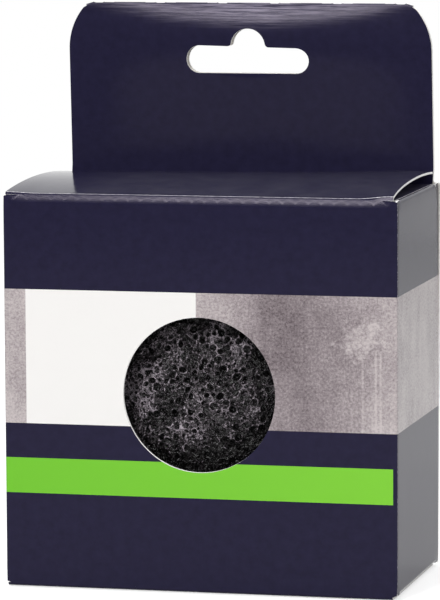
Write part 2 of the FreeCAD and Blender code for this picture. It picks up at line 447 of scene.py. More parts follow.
def cut_sheet(outline, holes, us, vs, margin=0.25):
    loops = [np.asarray(loop, float) for loop in (outline, *holes)]
    field = np.array([(u, v) for u in us for v in vs])
    rim = np.concatenate(loops)
    finder = finder_of([(u, v, 0) for u, v in rim])
    keep = on_board(field, loops) & np.array([finder.find((u, v, 0))[2] > margin for u, v in field])
    edges, start = [], 0
    for loop in loops:
        edges += [(start + i, start + (i + 1) % len(loop)) for i in range(len(loop))]
        start += len(loop)
    flat = [Vector(p) for p in np.concatenate([rim, field[keep]])]
    found = geometry.delaunay_2d_cdt(flat, edges, [], 0, 1e-5)
    points = np.array([tuple(p) for p in found[0]])
    corners = points[np.array(found[2])]
    one, two = corners[:, 1] - corners[:, 0], corners[:, 2] - corners[:, 0]
    turn = one[:, 0] * two[:, 1] - one[:, 1] * two[:, 0]
    good = on_board(corners.mean(1), loops) & (np.abs(turn) > smallest_face)
    faces = [tuple(f) if t > 0 else tuple(reversed(f)) for f, t, g in zip(found[2], turn, good) if g]
    return points, faces


# %% Fold a sheet into a board
def fold_board(name, flat, place, finishes=(printed, plain, cut_edge)):
    points, faces = flat
    count = len(points)
    solid = np.array([place(u, v, w) for w in (0.0, board) for u, v in points]) / 1000
    used = dict.fromkeys((a, b) for face in faces for a, b in zip(face, face[1:] + face[:1]))
    rim = [(a, b) for a, b in used if (b, a) not in used]
    polygons = list(faces) + [tuple(i + count for i in f) for f in flipped(faces)]
    polygons += [(b, a, a + count, b + count) for a, b in rim]
    mesh = bpy.data.meshes.new(name)
    mesh.from_pydata(solid.tolist(), [], polygons)
    for finish in finishes:
        mesh.materials.append(finish)
    kind = np.repeat((0, 1, 2), (len(faces), len(faces), len(rim))).astype(np.int32)
    mesh.polygons.foreach_set("material_index", kind)
    mesh.polygons.foreach_set("use_smooth", kind < 2)
    corners = np.zeros(len(mesh.loops), np.int32)
    mesh.loops.foreach_get("vertex_index", corners)
    layer = mesh.uv_layers.new(name="sheet")
    layer.data.foreach_set("uv", points[corners % count].astype(np.float32).ravel())
    # The knife's edges stay sharp on both faces of the board.
    edge_ends = np.zeros(len(mesh.edges) * 2, np.int32)
    mesh.edges.foreach_get("vertices", edge_ends)
    sharp = {frozenset((a + k, b + k)) for a, b in rim for k in (0, count)}
    flags = np.array([frozenset(p) in sharp for p in edge_ends.reshape(-1, 2).tolist()], bool)
    mesh.attributes.new("sharp_edge", "BOOLEAN", "EDGE").data.foreach_set("value", flags)
    mesh.update()
    made = in_scene(name, mesh)
    print(f"{name}: {len(faces)} faces a side")
    return made


# %% [markdown]
# ## The sleeve: front, sides and back
# Four panels wrap round the carton and meet in rounded, scored corners. Each mesh
# ends half-way round its corners, so that the bend is smooth while the panels stay
# separate pieces. The function below walks round the outside of the carton.

# %% Walk round the sleeve
flat_x = half_w - corner
flat_y = half_d - corner
bend = corner * math.pi / 2
front_edge = flat_x + bend / 2
rear_edge = flat_x + bend * 1.5 + 2 * flat_y
back_middle = 2 * flat_x + 2 * bend + 2 * flat_y
far_edge = 2 * back_middle - rear_edge


def sleeve(u, v, w):
    if u > back_middle:
        u -= 2 * back_middle
    side = 1 if u >= 0 else -1
    s = abs(u)
    r = corner - w
    if s <= flat_x:
        x, y = s, -half_d + w
    elif s <= flat_x + bend:
        a = (s - flat_x) / corner
        x, y = flat_x + r * math.sin(a), -flat_y - r * math.cos(a)
    elif s <= flat_x + bend + 2 * flat_y:
        x, y = half_w - w, -flat_y + s - flat_x - bend
    elif s <= flat_x + 2 * bend + 2 * flat_y:
        a = (s - flat_x - bend - 2 * flat_y) / corner
        x, y = flat_x + r * math.cos(a), flat_y + r * math.sin(a)
    else:
        x, y = flat_x - (s - flat_x - 2 * bend - 2 * flat_y), half_d - w
    return side * x, y, v


half_lines, bend_room = 4, 2


def bend_lines(centre):
    return centre + np.linspace(-bend / 2, bend / 2, 2 * half_lines + 1)


def columns_between(start, stop, step):
    middle = spread(start + bend_room, stop - bend_room, step)
    return np.concatenate([bend_lines(start)[half_lines + 1:], middle, bend_lines(stop)[:half_lines]])


print(f"the sheet is {2 * back_middle:.1f} mm round")

# %% Front panel: its shoulder and its window
crease_start = height - 0.39
corner_top = height - 0.7
floor_start = 0.75
corner_cut = 0.3
shoulder_tilt = math.radians(27)
shoulder_run = 1.9
stiff_corner, free_run = 0.6, 2
window_at, window_r = 0.5 * height, 17.6
slant_x, slant_z, slant_reach = 0.06, 0.08, 2.5


def shoulder(u, v):
    # The board starts to turn a little below the score, except at the stiff corners.
    s = clamp((v - crease_start) / shoulder_run + 1)
    free = clamp((half_w - stiff_corner - abs(u)) / free_run)
    return shoulder_run * math.tan(shoulder_tilt) * (s * s - s ** 3 / 3) * free


def front_place(u, v, w):
    x, y, z = sleeve(u, v, w)
    # The knife went in at a slant, so the cut edge shows at the window's lower left.
    slant = w / board * clamp(1 - (math.hypot(u, v - window_at) - window_r) / slant_reach)
    return x + slant_x * slant, y + shoulder(u, v), z + slant_z * slant


# %% Front panel
window_sides = 160
# First, last and step of the close rows on the shoulder, and where the open rows below it end.
shoulder_rows, shoulder_room = (0.3, 2.4, 0.2), 3.5
ring = np.linspace(0, 2 * math.pi, window_sides, endpoint=False)
window = np.stack([window_r * np.cos(ring), window_at + window_r * np.sin(ring)], 1)
front_us = np.concatenate([bend_lines(-front_edge)[half_lines:],
                           spread(-flat_x + bend_room, flat_x - bend_room, coarse),
                           bend_lines(front_edge)[:half_lines + 1]])
front_vs = np.concatenate([spread(floor_start, crease_start - shoulder_room, coarse),
                           crease_start - spread(*shoulder_rows)])
front_outline = [(-front_edge, floor_start + corner_cut)]
front_outline += [(u, floor_start) for u in spread(-lid_half, lid_half, coarse)]
front_outline += [(front_edge, floor_start + corner_cut), (front_edge, corner_top)]
front_outline += [(u, crease_start) for u in spread(lid_half, -lid_half, coarse)]
front_outline += [(-front_edge, corner_top)]
front = fold_board("front_panel_print", cut_sheet(front_outline, [window], front_us, front_vs), front_place)
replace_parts(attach(front, "carton"), "front_panel")

# %% [markdown]
# ## Side panels
# The two sides are mirror images. Between the roots of the dust flaps each one stops
# at the start of its crease; outside them the knife left a straight cut edge. The
# left one is drawn in negative u, so it lands on the other side of the carton.

# %% Side panels
side_bend = 0.9
foot_cut, top_cut = 0.5, 0.4
side_top = flap_high.z - side_bend
side_foot = foot_z + side_bend


def along_side(y):
    return flat_x + bend + y + flat_y


root_from, root_to = along_side(flap_low.y), along_side(flap_high.y)
root_us = list(spread(root_from, root_to, coarse))
side_outline = [(front_edge, foot_z + foot_cut), (front_edge + foot_cut, foot_z), (root_from, foot_z)]
side_outline += [(u, side_foot) for u in root_us]
side_outline += [(root_to, foot_z), (rear_edge, foot_z), (rear_edge, flap_high.z), (root_to, flap_high.z)]
side_outline += [(u, side_top) for u in reversed(root_us)]
side_outline += [(root_from, flap_high.z), (front_edge + top_cut, flap_high.z), (front_edge, corner_top)]
side_us = columns_between(front_edge, rear_edge, coarse)
side_vs = spread(foot_z, flap_high.z, coarse)[1:-1]
points, faces = cut_sheet(side_outline, [], side_us, side_vs)
right_side = fold_board("right_side_print", (points, faces), sleeve)
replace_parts(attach(right_side, "carton"), "right_side_panel")
left_side = fold_board("left_side_print", (points * (-1, 1), flipped(faces)), sleeve)
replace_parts(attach(left_side, "carton"), "left_side_panel")

# %% [markdown]
# ## Back panel and hang tab
# The back goes on upwards as the tab, folds over its top and comes down in front as
# a second ply, so the tab is two boards thick. Board can't be folded dead flat: the
# loop at the top stays slightly swollen, most in the middle of the fold, and that
# soft swelling is what catches the light. The slot is cut through both plies.

# %% Outlines of the tab
fold_half, fold_over = 39.1, 0.1
shoulder_r, shoulder_z, shoulder_drop = 15.0, 119.95, 0.8
hollow_in, hollow_down = 0.15, 0.25
tab_step = 2.5
slot_z, slot_half, slot_r = 117.75, 14.65, 3.1
notch_x, notch_z, notch_r, neck_r = 0.2, 121.0, 4.1, 0.9
slot_slope = 0.022


def arc(cx, cz, r, start, stop, count):
    turn = np.radians(np.linspace(start, stop, count))
    return [(cx + r * math.cos(t), cz + r * math.sin(t)) for t in turn]


def tab_side(side, foot):
    sweep = math.degrees(math.asin((fold_z - shoulder_drop - shoulder_z) / shoulder_r))
    curve = [(tab_half, z) for z in spread(foot, shoulder_z, coarse)[:-1]]
    curve += arc(tab_half - shoulder_r, shoulder_z, shoulder_r, 0, sweep, 16)
    # A small hollow leads the cut shoulder into the end of the fold.
    curve += [(fold_half - hollow_in, fold_z - hollow_down), (fold_half + fold_over, fold_z)]
    return [(side * x, z) for x, z in curve]


neck_z = slot_z + slot_r + neck_r
neck_x = math.sqrt((notch_r + neck_r) ** 2 - (neck_z - notch_z) ** 2)
neck_turn = math.degrees(math.asin((neck_z - notch_z) / (notch_r + neck_r)))
slot = arc(-slot_half + slot_r, slot_z, slot_r, 90, 270, 14)
slot += arc(slot_half - slot_r, slot_z, slot_r, -90, 90, 14)
slot += arc(notch_x + neck_x, neck_z, neck_r, 270, 180 + neck_turn, 7)
slot += arc(notch_x, notch_z, notch_r, neck_turn, 180 - neck_turn, 28)
slot += arc(notch_x - neck_x, neck_z, neck_r, -neck_turn, -90, 7)
# The knife ran slightly downhill along the slot's upper edge.
slot = [(x, z - slot_slope * x * clamp((z - slot_z) / slot_r)) for x, z in slot]
print(f"slot {2 * slot_half:.1f} mm wide, fold {2 * fold_half:.1f} mm long")

# %% Rear ply and back panel
skew_from, skew_rise, skew_at = 82, 11, 121
skew_shift, skew_lean = 0.57, 0.0154
swell_deep, swell_below, swell_half = 0.25, 4, 42
back_foot, tab_root = 0.5, 0.4


def ramp(value, low, high):
    t = clamp((value - low) / (high - low))
    return t * t * (3 - 2 * t)


def tab_skew(z):
    # The tab was glued a little out of square: it stands to the right, more so low down.
    return ramp(z, skew_from, skew_from + skew_rise) * (skew_shift + skew_lean * (skew_at - z))


def back_place(u, v, w):
    x, y, z = sleeve(u, v, w)
    swell = swell_deep * math.exp(-((v - fold_z + swell_below) / swell_below) ** 2)
    return x + tab_skew(z), y + swell * max(0.0, 1 - (x / swell_half) ** 2), z


def to_back(points_xz):
    return [(back_middle - x, z) for x, z in points_xz]


back_outline = [(u, back_foot) for u in spread(rear_edge, far_edge, coarse)]
back_outline += [(far_edge, flap_high.z)]
back_outline += to_back([(-tab_half - tab_root, height - tab_root)] + tab_side(-1, height))
back_outline += to_back([(x, fold_z) for x in spread(-fold_half, fold_half, coarse)[1:-1]])
back_outline += to_back(tab_side(1, height)[::-1] + [(tab_half + tab_root, height - tab_root)])
back_outline += [(rear_edge, flap_high.z)]
back_us = columns_between(rear_edge, far_edge, tab_step)
# First, last and step of the rows, which lie closer together near the fold.
back_rows = ((2, 122, coarse), (123, fold_z - 0.6, 0.9))
back_vs = np.concatenate([spread(*row) for row in back_rows])
back_flat = cut_sheet(back_outline, [to_back(slot)], back_us, back_vs)
back_print = fold_board("back_panel_print", back_flat, back_place)
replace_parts(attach(back_print, "carton"), "back_panel")

# %% Front ply: the fold over the top
ply_gap = 0.1
fold_r = board + ply_gap / 2
fold_arc = math.pi * fold_r
loop_steep, loop_long, loop_run = 0.54, 11.0, 36.0
loop_middle, loop_half, loop_least, loop_power = 2, 40, 0.04, 0.8


def ply_place(u, v, w):
    x = back_middle - u
    # Below the fold the loop swells forward, most in the middle, and dies away where it is glued.
    steep = loop_steep * max(loop_least, 1 - ((x - loop_middle) / loop_half) ** 2) ** loop_power
    fold_tilt = math.atan(steep)
    fold_turn = math.pi - fold_tilt
    a = min((v - fold_z) / fold_r, fold_turn)
    r = fold_r - w
    y, z = half_d - fold_r + r * math.cos(a), fold_z + r * math.sin(a)
    past = v - fold_z - fold_r * fold_turn
    if past > 0:
        t = min(1.0, past / loop_run)
        fade = math.exp(-past / loop_long) * (1 - t * t)
        tilt = math.atan(steep * (1 - past / loop_long) * fade)
        rest = fold_r * (1 - math.cos(fold_tilt)) * t
        y = half_d - fold_r * (1 + math.cos(fold_tilt)) - steep * past * fade - rest + w * math.cos(tilt)
        z = fold_z + fold_r * math.sin(fold_tilt) - past - w * math.sin(tilt)
    return x + tab_skew(z), y, z


# %% Front ply
ply_foot = ply_low.z
ply_start = fold_z + fold_arc
ply_end = 2 * fold_z + fold_arc - ply_foot


def to_ply(points_xz):
    return [(back_middle - x, 2 * fold_z + fold_arc - z) for x, z in points_xz]


ply_outline = to_ply([(x, ply_foot) for x in spread(-tab_half, tab_half, coarse)])
ply_outline += to_ply(tab_side(1, ply_foot)[1:])
fold_xs = spread(fold_half + fold_over, -fold_half - fold_over, coarse)
ply_outline += [(back_middle - x, fold_z) for x in fold_xs]
ply_outline += to_ply(tab_side(-1, ply_foot)[:0:-1])
# Where each set of rows starts, then its first, last and step, closest together in the fold.
ply_rows = ((fold_z, 0.12, fold_arc, 0.14), (ply_start, 0.3, 9, 0.5), (ply_start, 10, 20, 1.0),
            (0, ply_start + 22, ply_end - 1, tab_step))
ply_vs = np.concatenate([start + spread(*row) for start, *row in ply_rows])
ply_us = back_middle + spread(-tab_half + 1, tab_half - 1, tab_step)
ply_flat = cut_sheet(ply_outline[::-1], [to_ply(slot)], ply_us, ply_vs, 0.1)
ply_print = fold_board("hang_tab_front_ply_print", ply_flat, ply_place)
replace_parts(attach(ply_print, "carton"), "hang_tab_front_ply")

# %% [markdown]
# ## Lid, its crease and its tuck flap
# The lid hangs on the front panel by a scored crease and bows upwards over the dust
# flaps, a little more on the right, where the corner has sprung up. Lid, tuck flap
# and the two creases are separate meshes: the flaps ride stiffly on their bodies,
# and each crease strip stays where it was made, on no body.

# %% Shape of the lid
lid_left = -half_w + 0.4
crease_r = 0.6
crease_end = math.radians(80)
crease_arc = crease_r * (crease_end - shoulder_tilt)
crease_y = -half_d + shoulder(0, crease_start)
lid_y0 = crease_y + crease_r * (math.cos(shoulder_tilt) - math.cos(crease_end))
lid_z0 = crease_start + crease_r * (math.sin(crease_end) - math.sin(shoulder_tilt))
tuck_r, tuck_room = 0.7, 0.25
lid_y1 = ply_low.y - tuck_room - tuck_r
lid_v0 = crease_start + crease_arc
lid_run = lid_y1 - lid_y0
lid_v1 = lid_v0 + lid_run
bow_middle, bow_rear = 2.0, 1.35
twist_middle, twist_rear, bow_across = 0.33, 0.55, 0.3
lift_high, lift_from, lift_to = 0.6, 36, 44
left_lift, left_lift_from, left_lift_to = 0.25, 38, 45
lift_reach, lift_fall = 0.4, 1.5
right_lift, right_lift_from, right_lift_run, right_lift_peak = 0.3, 14, 30, 0.22
# The rear edge curls up towards the right and down again at its end.
rear_curls = ((0.4, 22, 46), (-0.35, 40, 44.4))
nudge = 0.05


def corner_lift(x):
    # The ends of the crease stand up a little, the right-hand one most.
    return lift_high * ramp(x, lift_from, lift_to) + left_lift * ramp(-x, left_lift_from, left_lift_to)


def lid_top(x, y):
    share = x / lid_half
    middle = height + bow_middle + twist_middle * share
    rear = height + bow_rear + twist_rear * share + bow_across * share ** 2
    for rise, low, high in rear_curls:
        rear += rise * ramp(x, low, high)
    t = (y - lid_y0) / lid_run
    bow = 2 * (rear - 2 * middle + lid_z0)
    z = lid_z0 + (rear - lid_z0 - bow) * t + bow * t * t
    # Behind the lifted corners the lid's edge comes down to the bow again.
    spring = right_lift * max(0.0, (x - right_lift_from) / right_lift_run) ** 2
    right_end = spring * t * math.exp(1 - t / right_lift_peak) / right_lift_peak
    return z + corner_lift(x) * math.exp(-(max(0.0, t) / lift_reach) ** lift_fall) + right_end


def lid_slope(x, y):
    return (lid_top(x, y + nudge) - lid_top(x, y - nudge)) / (2 * nudge)


print(f"lid bows {lid_top(0, 0) - height:.2f} mm, {lid_top(lid_half, 0) - height:.2f} mm at its right edge")


# %% Lid and front crease
def lid_place(u, v, w):
    y = lid_y0 + v - lid_v0
    tilt = math.atan(lid_slope(u, y))
    return u, y + w * math.sin(tilt), lid_top(u, y) - w * math.cos(tilt)


def lid_crease_place(u, v, w):
    a = shoulder_tilt + (v - crease_start) / crease_r
    y = crease_y + crease_r * math.cos(shoulder_tilt) - (crease_r - w) * math.cos(a)
    z = crease_start - crease_r * math.sin(shoulder_tilt) + (crease_r - w) * math.sin(a)
    return u, y, z + corner_lift(u) * ramp(v, crease_start, lid_v0)


lid_step, end_step = 1.5, 0.8
lid_us = np.concatenate([spread(lid_left, -lift_from, end_step)[:-1], spread(-lift_from, lift_from, lid_step),
                         spread(lift_from, lid_half, end_step)[1:]])
lid_vs = lid_v0 + np.concatenate([spread(0, 8, 0.5), spread(9, lid_run, lid_step)])
lid = fold_board("lid_print", grid_sheet(lid_us, lambda u: lid_vs), lid_place)
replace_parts(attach(lid, "lid"), "top_lid")
lid_crease_flat = grid_sheet(lid_us, rows(crease_start, lid_v0, fine))
lid_crease = fold_board("lid_crease_print", lid_crease_flat, lid_crease_place)
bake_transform(lid_crease)

# %% Shape of the tuck flaps
tuck_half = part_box("top_tuck_flap")[1].x * 1000
tuck_lean = math.radians(105)
tuck_len = 13.4
tuck_corner = 7.0
bend_len = tuck_r * tuck_lean


def tuck_vs(u, start):
    past = max(0.0, abs(u) - (tuck_half - tuck_corner))
    drop = tuck_corner - math.sqrt(max(0.0, tuck_corner ** 2 - past ** 2))
    return np.linspace(start, start + tuck_len - drop, 10)


tuck_us = np.concatenate([-tuck_half + spread(0, tuck_corner, 0.5),
                          spread(-tuck_half + tuck_corner + 2, tuck_half - tuck_corner - 2, coarse),
                          tuck_half - spread(tuck_corner, 0, 0.5)])
print(f"tuck flaps {2 * tuck_half:.1f} mm wide, {tuck_len:.1f} mm long")


# %% Tuck flap of the lid
def rear_fold(u, v, w):
    s = v - lid_v1
    tilt = math.atan(lid_slope(u, lid_y1))
    cy, cz = lid_y1 + tuck_r * math.sin(tilt), lid_top(u, lid_y1) - tuck_r * math.cos(tilt)
    turn = tilt - min(s / tuck_r, tuck_lean + tilt)
    past = max(0.0, s - tuck_r * (tuck_lean + tilt))
    y = cy - (tuck_r - w) * math.sin(turn) + past * math.cos(turn)
    return u, y, cz + (tuck_r - w) * math.cos(turn) + past * math.sin(turn)


tuck_crease_flat = grid_sheet(tuck_us, rows(lid_v1, lid_v1 + bend_len, fine))
tuck_crease = fold_board("lid_tuck_crease_print", tuck_crease_flat, rear_fold)
fold_top = lid_top(0, lid_y1)
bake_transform(tuck_crease)
tuck = fold_board("lid_tuck_print", grid_sheet(tuck_us, lambda u: tuck_vs(u, lid_v1 + bend_len)), rear_fold)
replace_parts(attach(tuck, "lid_tuck"), "top_tuck_flap")

# %% [markdown]
# ## Dust flaps
# Four small flaps fold in from the sides, two under the lid and two above the
# bottom. Their front edge is cut back at an angle so that they swing free. One
# function makes a flap with its crease; signs pick the side and the end.

# %% Dust flaps
taper = math.tan(math.radians(30))
flap_corner = 4.0


def dust_flap(node, body, side, end):
    low, high = [v * 1000 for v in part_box(node)]
    inner = min(abs(low.x), abs(high.x))
    face = high.z if end > 0 else low.z
    start = face - end * side_bend
    centre = half_w - side_bend
    turn = side_bend * math.pi / 2
    length = turn + centre - inner

    def place(u, v, w):
        s = end * (v - start)
        a = min(s / side_bend, math.pi / 2)
        x = centre + (side_bend - w) * math.cos(a) - max(0.0, s - turn)
        return side * x, side * u - along_side(0), start + end * (side_bend - w) * math.sin(a)

    def flap_us(s):
        past = s - turn
        bite = max(0.0, flap_corner - (centre - inner - past))
        cut = flap_corner - math.sqrt(max(0.0, flap_corner ** 2 - bite ** 2))
        return np.linspace(along_side(low.y + taper * past + cut), along_side(high.y - cut), 14)

    flap_ss = np.concatenate([spread(turn, length - flap_corner, 2.0),
                              length - flap_corner + spread(0.4, flap_corner, 0.4)])
    crease_flat = grid_sheet(spread(0, turn, fine), rows(along_side(low.y), along_side(high.y), coarse))
    made = []
    for label, outside, (points, faces) in (("print", bare_print, grid_sheet(flap_ss, flap_us)),
                                            ("crease_print", printed, crease_flat)):
        on_sheet = np.stack([side * points[:, 1], start + end * points[:, 0]], 1)
        flat = (on_sheet, flipped(faces) if side * end > 0 else faces)
        made.append(fold_board(f"{node}_{label}", flat, place, finishes=(outside, plain, cut_edge)))
    flap, crease = made
    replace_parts(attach(flap, body), node)
    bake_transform(crease)


dust_flap("top_right_dust_flap", "dust_top_right", 1, 1)
dust_flap("top_left_dust_flap", "dust_top_left", -1, 1)
dust_flap("bottom_right_dust_flap", "dust_bottom_right", 1, -1)
dust_flap("bottom_left_dust_flap", "dust_bottom_left", -1, -1)

# %% [markdown]
# ## Bottom panel
# The bottom is made like the lid, but it lies flat on the shelf. It shares the lid's
# recipe of panel, two creases and a tuck flap that leans into the carton.

# %% Shape of the bottom
bottom_r = floor_start
bottom_v0 = floor_start - bottom_r * math.pi / 2
bottom_y0 = -half_d + bottom_r
bottom_y1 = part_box("bottom_tuck_flap")[1].y * 1000 + 0.05 - tuck_r
bottom_v1 = bottom_v0 - (bottom_y1 - bottom_y0)
bottom_v2 = bottom_v1 - bend_len


def bottom_place(u, v, w):
    return u, bottom_y0 + bottom_v0 - v, w


def bottom_crease_place(u, v, w):
    a = (floor_start - v) / bottom_r
    return u, -half_d + bottom_r - (bottom_r - w) * math.cos(a), bottom_r - (bottom_r - w) * math.sin(a)


def bottom_fold(u, v, w):
    s = bottom_v1 - v
    turn = min(s / tuck_r, tuck_lean)
    past = max(0.0, s - tuck_r * tuck_lean)
    y = bottom_y1 + (tuck_r - w) * math.sin(turn) + past * math.cos(turn)
    return u, y, tuck_r - (tuck_r - w) * math.cos(turn) + past * math.sin(turn)


# %% Bottom panel, creases and tuck flap
bottom_crease_flat = grid_sheet(lid_us, rows(bottom_v0, floor_start, fine))
bottom_crease = fold_board("bottom_crease_print", bottom_crease_flat, bottom_crease_place)
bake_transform(bottom_crease)
bottom_flat = grid_sheet(spread(-lid_half, lid_half, coarse), rows(bottom_v1, bottom_v0, coarse))
bottom = fold_board("bottom_print", bottom_flat, bottom_place)
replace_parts(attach(bottom, "bottom"), "bottom_panel")
bottom_tuck_crease_flat = grid_sheet(tuck_us, rows(bottom_v2, bottom_v1, fine))
bottom_tuck_crease = fold_board("bottom_tuck_crease_print", bottom_tuck_crease_flat, bottom_fold)
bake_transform(bottom_tuck_crease)
bottom_tuck_flat = grid_sheet(tuck_us, lambda u: bottom_v2 * 2 - tuck_vs(u, bottom_v2)[::-1])
bottom_tuck = fold_board("bottom_tuck_print", bottom_tuck_flat, bottom_fold)
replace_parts(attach(bottom_tuck, "bottom_tuck"), "bottom_tuck_flap")

# %% [markdown]
# ## Glue flap and glue films
# These solids already have the right shape, so they stay and only get a finish.

# %% Finishes for the solids that stay
for node, finish in (("glue_flap", plain), ("seam_glue", glue), ("hang_tab_glue", glue)):
    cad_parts[node].data.materials.clear()
    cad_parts[node].data.materials.append(finish)
print("dressed glue_flap, seam_glue and hang_tab_glue")

# %% [markdown]
# ## The sponge
# Konjac starch is whipped, set, frozen and thawed, which leaves a rubbery foam of
# round open cells, here blackened with charcoal. A bump map would look painted on,
# so the dome is a fine mesh and every pore is a real pit pressed into it. Positions
# come from a seeded generator, so each run gives the same sponge.

# %% Profile of the dome
sponge_low, sponge_high = [v * 1000 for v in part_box("sponge")]
sponge_r = (sponge_high.x - sponge_low.x) / 2
sponge_z = (sponge_high.z + sponge_low.z) / 2
sponge_deep = sponge_high.y - sponge_low.y
dome_share = 0.74
dome = dome_share * sponge_deep
ball = (sponge_r ** 2 + dome ** 2) / (2 * dome)
heel = 9.0
seen_run, seen_step, hidden_step = 28, 0.19, 0.5
top_turn = np.linspace(0, math.asin(sponge_r / ball), 200)
heel_turn = np.linspace(0, math.pi / 2, 40)
base_r = np.linspace(sponge_r - heel, 0, 30)[1:]
outline_r = np.concatenate([ball * np.sin(top_turn), [sponge_r],
                            sponge_r - heel + heel * np.cos(heel_turn), base_r])
outline_y = np.concatenate([ball * (1 - np.cos(top_turn)), [sponge_deep - heel],
                            sponge_deep - heel + heel * np.sin(heel_turn), base_r * 0 + sponge_deep])
walked = np.concatenate([[0], np.cumsum(np.hypot(np.diff(outline_r), np.diff(outline_y)))])
steps = [0.12]
while steps[-1] < walked[-1] - 0.3:
    steps.append(steps[-1] + (seen_step if steps[-1] < seen_run else hidden_step))
ring_at = np.array(steps)
print(f"dome of {sponge_r:.1f} mm radius, {sponge_deep:.1f} mm deep, {len(ring_at)} rings")

# %% Mesh of the dome
segments = 640
ring_r = np.interp(ring_at, walked, outline_r)
ring_y = np.interp(ring_at, walked, outline_y)
slope_r, slope_y = np.gradient(ring_r, ring_at), np.gradient(ring_y, ring_at)
turn = np.arange(segments) * 2 * math.pi / segments
skin = np.stack([np.outer(ring_r, np.cos(turn)), np.repeat(sponge_low.y + ring_y[:, None], segments, 1),
                 sponge_z + np.outer(ring_r, np.sin(turn))], 2).reshape(-1, 3)
outward = np.stack([np.outer(slope_y, np.cos(turn)), np.repeat(-slope_r[:, None], segments, 1),
                    np.outer(slope_y, np.sin(turn))], 2).reshape(-1, 3)
outward /= np.linalg.norm(outward, axis=1)[:, None]
this = np.arange(len(ring_at) - 1)[:, None] * segments
seg = np.arange(segments)[None, :]
after = (seg + 1) % segments
following = this + segments
quads = np.stack([this + seg, following + seg, following + after, this + after], 2).reshape(-1, 4)
print(f"{len(skin)} points before the pores")

# %% Places and sizes of the pores
wanted = 42000
pore_mean, pore_least, pore_most = 0.33, 0.2, 0.95
random = np.random.default_rng(11)
area = np.cumsum(ring_r * np.gradient(ring_at))
area /= area[-1]
pore_at = np.interp(random.random(wanted), area, ring_at)
pore_turn = random.random(wanted) * 2 * math.pi
pore_r = np.sort(pore_mean * np.exp(random.normal(0, 0.5, wanted)))[::-1]
pore_r = np.clip(pore_r, pore_least, pore_most)
axis_r, axis_y = np.interp(pore_at, ring_at, ring_r), np.interp(pore_at, ring_at, ring_y)
pore = np.stack([axis_r * np.cos(pore_turn), sponge_low.y + axis_y,
                 sponge_z + axis_r * np.sin(pore_turn)], 1)
spots = finder_of(pore)
# The largest cells take their places first and clear smaller ones off their ground.
kept = np.ones(wanted, bool)
for i in range(wanted):
    if kept[i]:
        for _, j, away in spots.find_range(pore[i], 1.8 * pore_r[i]):
            kept[j] &= j <= i or away > 0.9 * (pore_r[i] + pore_r[j])
pore, pore_r = pore[kept], pore_r[kept]
print(f"{len(pore)} pores, {2 * pore_r.min():.1f} to {2 * pore_r.max():.1f} mm across")

# %% Depth of the pores
# About two in five cells are torn open and deep; the rest keep a thin floor.
torn_share, torn_deep = 0.4, 1.4
lip_at, lip_half, lip_reach = 1.12, 0.28, 1.4
torn = random.random(len(pore)) < torn_share
depth_of = np.where(torn, torn_deep, random.uniform(0.2, 0.6, len(pore)))
# Cells are squashed, each along its own direction.
squash = random.uniform(1.0, 1.7, len(pore))
grain = random.normal(0, 1, (len(pore), 3))
grain /= np.linalg.norm(grain, axis=1)[:, None]
finder = finder_of(skin)
pit = np.zeros(len(skin))
lip = np.zeros(len(skin))
for centre, r, depth, flat, way in zip(pore, pore_r, depth_of, squash, grain):
    where = np.array([near[1] for near in finder.find_range(centre, lip_reach * r)], int)
    if len(where):
        offset = skin[where] - centre
        share = np.sqrt((offset ** 2).sum(1) + (flat ** 2 - 1) * (offset @ way) ** 2) / r
        pit[where] = np.maximum(pit[where], depth * r * np.sqrt(np.clip(1 - share ** 2, 0, 1)))
        lip[where] = np.maximum(lip[where], r * np.clip(1 - np.abs(share - lip_at) / lip_half, 0, 1))
print(f"{torn.sum()} cells are torn open, the deepest {pit.max():.1f} mm")

# %% Press the pores in
lump_layers = [(9.0, 0.8, Vector((0, 0, 0))), (4.2, 0.7, Vector((7, 3, 1))),
               (1.5, 0.45, Vector((1, 9, 4))), (0.55, 0.2, Vector((5, 2, 8)))]
lump = np.array([sum(noise.noise(Vector(p) / size + seed) * amount for size, amount, seed in lump_layers)
                 for p in skin])
# Lumps are sunk below the smooth dome, and the tallest are cut off just above it, as if pressed flat.
sunk, pressed, lip_high = 0.6, 0.2, 0.2
pit_full, lip_full = 0.9, 0.5
shift = np.minimum(lump - sunk, pressed) - pit + lip_high * lip
body = (skin + outward * shift[:, None]) / 1000
tips = [(0, body[:segments, 1].mean(), sponge_z / 1000), (0, (sponge_high.y - 0.5) / 1000, sponge_z / 1000)]
first, last = len(body), len(body) + 1
rim = (len(ring_at) - 1) * segments
faces = quads.tolist()
faces += [(first, i, (i + 1) % segments) for i in range(segments)]
faces += [(last, rim + (i + 1) % segments, rim + i) for i in range(segments)]
mesh = bpy.data.meshes.new("konjac_sponge")
mesh.from_pydata(np.concatenate([body, tips]).tolist(), [], faces)
mesh.polygons.foreach_set("use_smooth", np.ones(len(faces), bool))
for name, values in (("pit", pit / pit_full), ("lip", lip / lip_full), ("lump", lump)):
    layer = mesh.attributes.new(name, "FLOAT", "POINT")
    layer.data.foreach_set("value", np.concatenate([values, [0, 0]]).astype(np.float32))
mesh.update()
sponge = in_scene("konjac_sponge", mesh)
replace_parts(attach(sponge, "sponge"), "sponge")
print(f"sponge mesh of {len(faces)} faces")

# %% [markdown]
# ## Charcoal konjac
# The cell walls are damp-looking and rubbery: dark grey where they face the light,
# with painted shade making them nearly black down in the cells, a painted highlight
# on the rim of each cell and tiny painted glints. The pit and rim come from the mesh
# itself, so colour and shape agree; finer bubbles than the mesh can hold are bump and
# colour, with painted highlights on their rings and painted shade in their cores.

# %% Fine bubbles, with painted light and shade
ring_middle, ring_half = 0.36, 0.13


